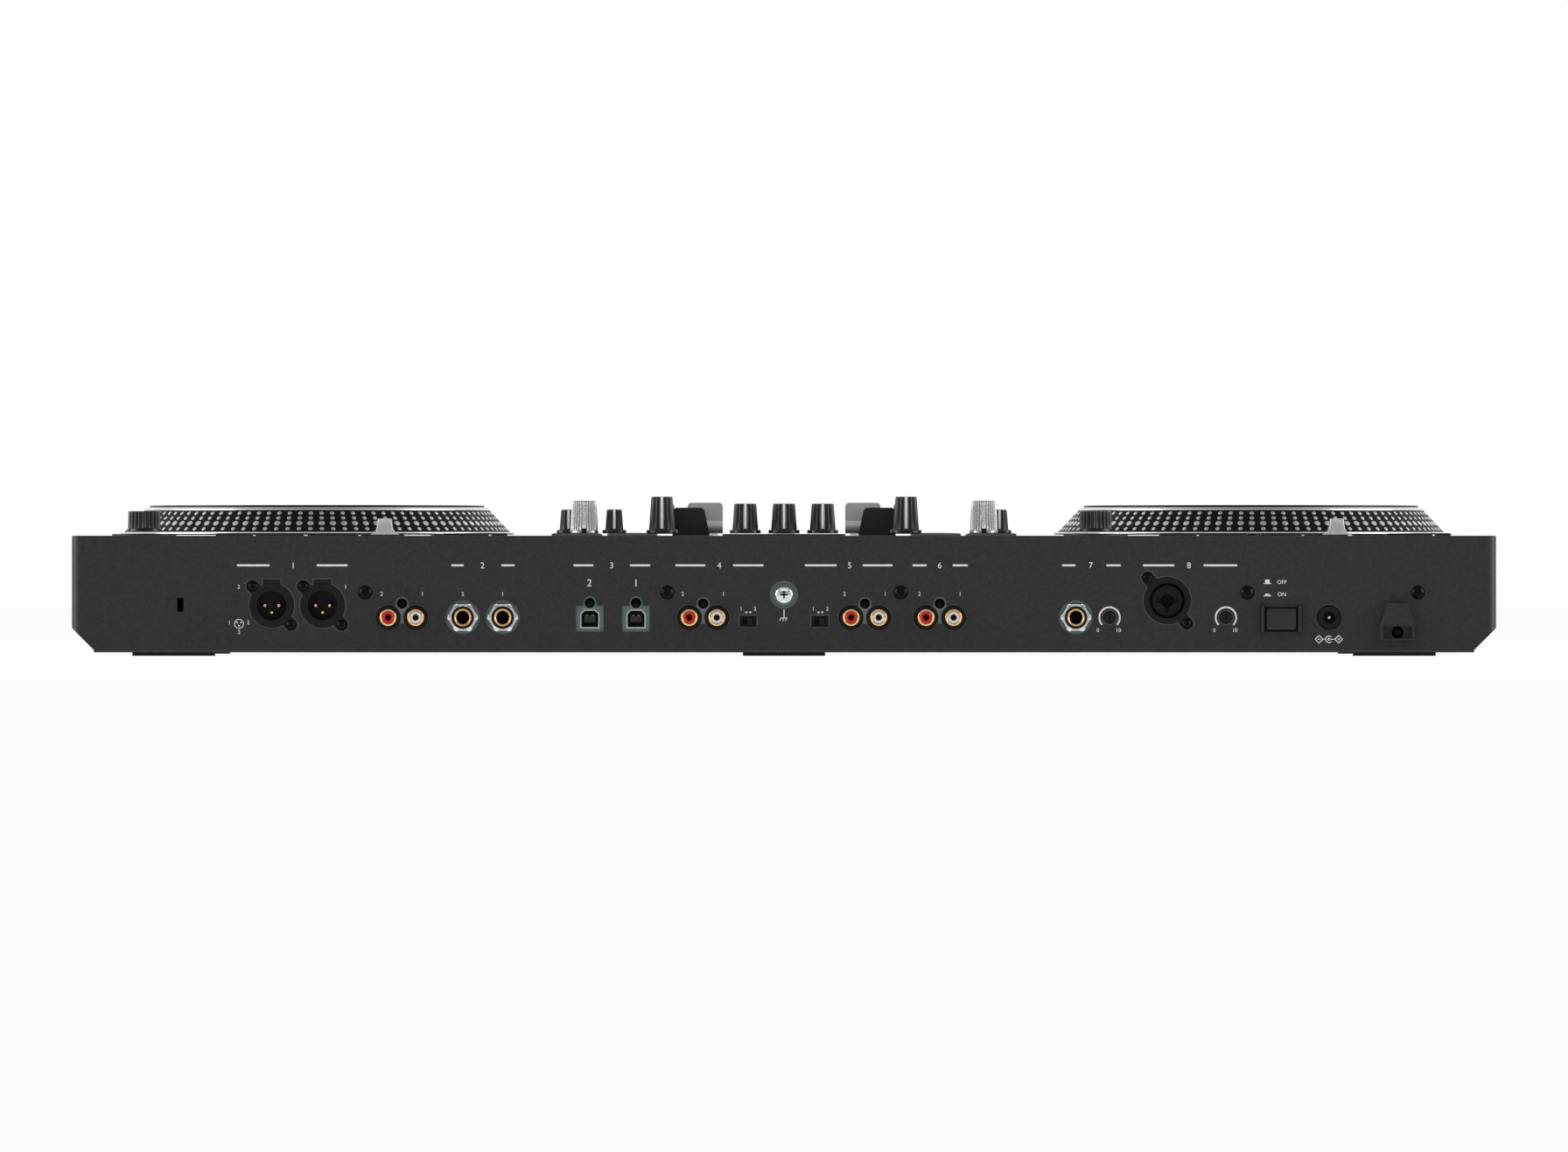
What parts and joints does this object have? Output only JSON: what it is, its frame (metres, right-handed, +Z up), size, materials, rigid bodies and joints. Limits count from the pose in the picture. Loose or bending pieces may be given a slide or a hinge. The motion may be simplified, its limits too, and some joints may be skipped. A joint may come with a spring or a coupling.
{
  "type": "dj mixer",
  "caption": "DJ mixer with a motor platter on either side, trigger pads, faders, ribbed knobs and effect levers in a low dark case with a rear socket panel.",
  "frame": {"origin": "middle of the footprint, on the surface that the feet stand on", "axes": "+X to the user's right, +Y to the rear wall with its sockets, +Z up"},
  "size_m": [0.7344, 0.365, 0.0822],
  "materials": {
    "case_shell": "fine-grained charcoal",
    "base_sheet": "black powder coat",
    "foot_rubber": "matte black",
    "black_screw": "gloss black",
    "black_moulding": "satin black",
    "black_knob": "satin black",
    "bright_knob": "turned, ribbed",
    "light_cap": "satin light grey",
    "gold_plate": "polished plate",
    "phono_insert": "red in one half of each pair, white in the other",
    "bright_nut": "polished",
    "usb_shell": "plated",
    "bracket_steel": "plated, greenish grey",
    "board": "solder mask",
    "motor_cup": "cast",
    "pot_body": "moulded",
    "platter_metal": "black anodised with turned bright rims and dots",
    "disc_black": "pressed disc",
    "spindle_steel": "ground",
    "pad_silicone": "matte silicone"
  },
  "bodies": {
    "chassis": {"bottom_plate": "base_sheet", "upper_case": "case_shell", "rear_panel": "case_shell", "rubber_feet": "foot_rubber", "panel_screws": "black_screw", "xlr_shells": "black_moulding", "socket_housings": "black_moulding", "gold_contacts": "gold_plate", "rca_inserts": "phono_insert", "trs_nuts": "bright_nut", "usb_ports": "usb_shell", "combo_socket": "black_moulding", "dc_inlet": "black_moulding", "ground_terminal": "bright_nut", "cord_hook": "black_moulding", "jack_bracket": "bracket_steel", "main_board": "board", "motor_stators": "motor_cup", "control_pots": "pot_body", "lever_pedestals": "black_moulding"},
    "deck_left": {"platter_left": "platter_metal", "disc_left": "disc_black", "spindle_left": "spindle_steel"},
    "deck_right": {"platter_right": "platter_metal", "disc_right": "disc_black", "spindle_right": "spindle_steel"},
    "effect_knob_middle": {"effect_knob_middle": "black_knob"},
    "headphone_knob": {"headphone_knob": "black_knob"},
    "effect_knob_left": {"effect_knob_left": "black_knob"},
    "gain_knob_left": {"gain_knob_left": "black_knob"},
    "browse_knob_left": {"browse_knob_left": "bright_knob"},
    "cue_knob_left": {"cue_knob_left": "black_knob"},
    "treble_knob_left": {"treble_knob_left": "black_knob"},
    "bass_knob_left": {"bass_knob_left": "black_knob"},
    "stop_time_knob_left": {"stop_time_knob_left": "black_knob"},
    "effect_knob_right": {"effect_knob_right": "black_knob"},
    "gain_knob_right": {"gain_knob_right": "black_knob"},
    "browse_knob_right": {"browse_knob_right": "bright_knob"},
    "cue_knob_right": {"cue_knob_right": "black_knob"},
    "treble_knob_right": {"treble_knob_right": "black_knob"},
    "bass_knob_right": {"bass_knob_right": "black_knob"},
    "stop_time_knob_right": {"stop_time_knob_right": "black_knob"},
    "crossfader": {"crossfader": "black_knob"},
    "channel_fader_left": {"channel_fader_left": "black_knob"},
    "tempo_fader_left": {"tempo_fader_left": "light_cap"},
    "channel_fader_right": {"channel_fader_right": "black_knob"},
    "tempo_fader_right": {"tempo_fader_right": "light_cap"},
    "effect_lever_left": {"effect_lever_left": "light_cap"},
    "pad_mat_left": {"pad_mat_left": "pad_silicone"},
    "deck_keys_left": {"deck_keys_left": "black_knob"},
    "start_key_left": {"start_key_left": "black_knob"},
    "input_switch_left": {"input_switch_left": "black_knob"},
    "effect_lever_right": {"effect_lever_right": "light_cap"},
    "pad_mat_right": {"pad_mat_right": "pad_silicone"},
    "deck_keys_right": {"deck_keys_right": "black_knob"},
    "start_key_right": {"start_key_right": "black_knob"},
    "input_switch_right": {"input_switch_right": "black_knob"},
    "power_button": {"power_button": "black_knob"},
    "trimmer_one": {"trimmer_one": "black_knob"},
    "trimmer_two": {"trimmer_two": "black_knob"}
  },
  "joints": [
    {"name": "deck_left_spin", "type": "hinge", "parent": "chassis", "child": "deck_left", "pos_m": [-0.2441, 0.005, 0.062], "axis": [0, 0, 1], "continuous": true},
    {"name": "deck_right_spin", "type": "hinge", "parent": "chassis", "child": "deck_right", "pos_m": [0.2441, 0.005, 0.062], "axis": [0, 0, 1], "continuous": true},
    {"name": "effect_knob_middle_turn", "type": "hinge", "parent": "chassis", "child": "effect_knob_middle", "pos_m": [0, 0.1415, 0.062], "axis": [0, 0, 1], "range_deg": [-150, 150]},
    {"name": "headphone_knob_turn", "type": "hinge", "parent": "chassis", "child": "headphone_knob", "pos_m": [0.0877, 0.1415, 0.062], "axis": [0, 0, 1], "range_deg": [-150, 150]},
    {"name": "effect_knob_left_turn", "type": "hinge", "parent": "chassis", "child": "effect_knob_left", "pos_m": [-0.02, 0.1415, 0.062], "axis": [0, 0, 1], "range_deg": [-150, 150]},
    {"name": "gain_knob_left_turn", "type": "hinge", "parent": "chassis", "child": "gain_knob_left", "pos_m": [-0.0631, 0.1415, 0.062], "axis": [0, 0, 1], "range_deg": [-150, 150]},
    {"name": "browse_knob_left_turn", "type": "hinge", "parent": "chassis", "child": "browse_knob_left", "pos_m": [-0.1033, 0.1415, 0.062], "axis": [0, 0, 1], "continuous": true},
    {"name": "cue_knob_left_turn", "type": "hinge", "parent": "chassis", "child": "cue_knob_left", "pos_m": [-0.1116, 0.1135, 0.062], "axis": [0, 0, 1], "range_deg": [-150, 150]},
    {"name": "treble_knob_left_turn", "type": "hinge", "parent": "chassis", "child": "treble_knob_left", "pos_m": [-0.0631, 0.0435, 0.062], "axis": [0, 0, 1], "range_deg": [-150, 150]},
    {"name": "bass_knob_left_turn", "type": "hinge", "parent": "chassis", "child": "bass_knob_left", "pos_m": [-0.0631, 0.0175, 0.062], "axis": [0, 0, 1], "range_deg": [-150, 150]},
    {"name": "stop_time_knob_left_turn", "type": "hinge", "parent": "chassis", "child": "stop_time_knob_left", "pos_m": [-0.161, 0.1435, 0.062], "axis": [0, 0, 1], "range_deg": [-150, 150]},
    {"name": "effect_knob_right_turn", "type": "hinge", "parent": "chassis", "child": "effect_knob_right", "pos_m": [0.02, 0.1415, 0.062], "axis": [0, 0, 1], "range_deg": [-150, 150]},
    {"name": "gain_knob_right_turn", "type": "hinge", "parent": "chassis", "child": "gain_knob_right", "pos_m": [0.0631, 0.1415, 0.062], "axis": [0, 0, 1], "range_deg": [-150, 150]},
    {"name": "browse_knob_right_turn", "type": "hinge", "parent": "chassis", "child": "browse_knob_right", "pos_m": [0.1033, 0.1415, 0.062], "axis": [0, 0, 1], "continuous": true},
    {"name": "cue_knob_right_turn", "type": "hinge", "parent": "chassis", "child": "cue_knob_right", "pos_m": [0.1116, 0.1135, 0.062], "axis": [0, 0, 1], "range_deg": [-150, 150]},
    {"name": "treble_knob_right_turn", "type": "hinge", "parent": "chassis", "child": "treble_knob_right", "pos_m": [0.0631, 0.0435, 0.062], "axis": [0, 0, 1], "range_deg": [-150, 150]},
    {"name": "bass_knob_right_turn", "type": "hinge", "parent": "chassis", "child": "bass_knob_right", "pos_m": [0.0631, 0.0175, 0.062], "axis": [0, 0, 1], "range_deg": [-150, 150]},
    {"name": "stop_time_knob_right_turn", "type": "hinge", "parent": "chassis", "child": "stop_time_knob_right", "pos_m": [0.3306, 0.1435, 0.062], "axis": [0, 0, 1], "range_deg": [-150, 150]},
    {"name": "crossfader_slide", "type": "slide", "parent": "chassis", "child": "crossfader", "axis": [1, 0, 0], "range_m": [-0.0225, 0.0225]},
    {"name": "channel_fader_left_slide", "type": "slide", "parent": "chassis", "child": "channel_fader_left", "axis": [0, 1, 0], "range_m": [-0.0225, 0.0225]},
    {"name": "tempo_fader_left_slide", "type": "slide", "parent": "chassis", "child": "tempo_fader_left", "axis": [1, 0, 0], "range_m": [-0.03, 0.03]},
    {"name": "channel_fader_right_slide", "type": "slide", "parent": "chassis", "child": "channel_fader_right", "axis": [0, 1, 0], "range_m": [-0.0225, 0.0225]},
    {"name": "tempo_fader_right_slide", "type": "slide", "parent": "chassis", "child": "tempo_fader_right", "axis": [1, 0, 0], "range_m": [-0.03, 0.03]},
    {"name": "effect_lever_left_tilt", "type": "hinge", "parent": "chassis", "child": "effect_lever_left", "pos_m": [-0.041, 0.0655, 0.0668], "axis": [1, 0, 0], "range_deg": [-16, 16], "stiffness_Nm_per_rad": 0.05},
    {"name": "pad_mat_left_press", "type": "slide", "parent": "chassis", "child": "pad_mat_left", "axis": [0, 0, -1], "range_m": [0, 0.001], "stiffness_N_per_m": 2400, "springref_m": -0.0005},
    {"name": "deck_keys_left_press", "type": "slide", "parent": "chassis", "child": "deck_keys_left", "axis": [0, 0, -1], "range_m": [0, 0.0006], "stiffness_N_per_m": 1500, "springref_m": -0.0005},
    {"name": "start_key_left_press", "type": "slide", "parent": "chassis", "child": "start_key_left", "axis": [0, 0, -1], "range_m": [0, 0.0008], "stiffness_N_per_m": 1500, "springref_m": -0.0005},
    {"name": "input_switch_left_slide", "type": "slide", "parent": "chassis", "child": "input_switch_left", "axis": [1, 0, 0], "range_m": [0, 0.002]},
    {"name": "effect_lever_right_tilt", "type": "hinge", "parent": "chassis", "child": "effect_lever_right", "pos_m": [0.041, 0.0655, 0.0668], "axis": [1, 0, 0], "range_deg": [-16, 16], "stiffness_Nm_per_rad": 0.05},
    {"name": "pad_mat_right_press", "type": "slide", "parent": "chassis", "child": "pad_mat_right", "axis": [0, 0, -1], "range_m": [0, 0.001], "stiffness_N_per_m": 2400, "springref_m": -0.0005},
    {"name": "deck_keys_right_press", "type": "slide", "parent": "chassis", "child": "deck_keys_right", "axis": [0, 0, -1], "range_m": [0, 0.0006], "stiffness_N_per_m": 1500, "springref_m": -0.0005},
    {"name": "start_key_right_press", "type": "slide", "parent": "chassis", "child": "start_key_right", "axis": [0, 0, -1], "range_m": [0, 0.0008], "stiffness_N_per_m": 1500, "springref_m": -0.0005},
    {"name": "input_switch_right_slide", "type": "slide", "parent": "chassis", "child": "input_switch_right", "axis": [1, 0, 0], "range_m": [0, 0.002]},
    {"name": "power_button_press", "type": "slide", "parent": "chassis", "child": "power_button", "axis": [0, -1, 0], "range_m": [0, 0.0022], "stiffness_N_per_m": 1500, "springref_m": -0.0005},
    {"name": "trimmer_one_turn", "type": "hinge", "parent": "chassis", "child": "trimmer_one", "pos_m": [-0.2278, 0.1755, 0.0198], "axis": [0, 1, 0], "range_deg": [-150, 150]},
    {"name": "trimmer_two_turn", "type": "hinge", "parent": "chassis", "child": "trimmer_two", "pos_m": [-0.1678, 0.1755, 0.0198], "axis": [0, 1, 0], "range_deg": [-150, 150]}
  ]
}
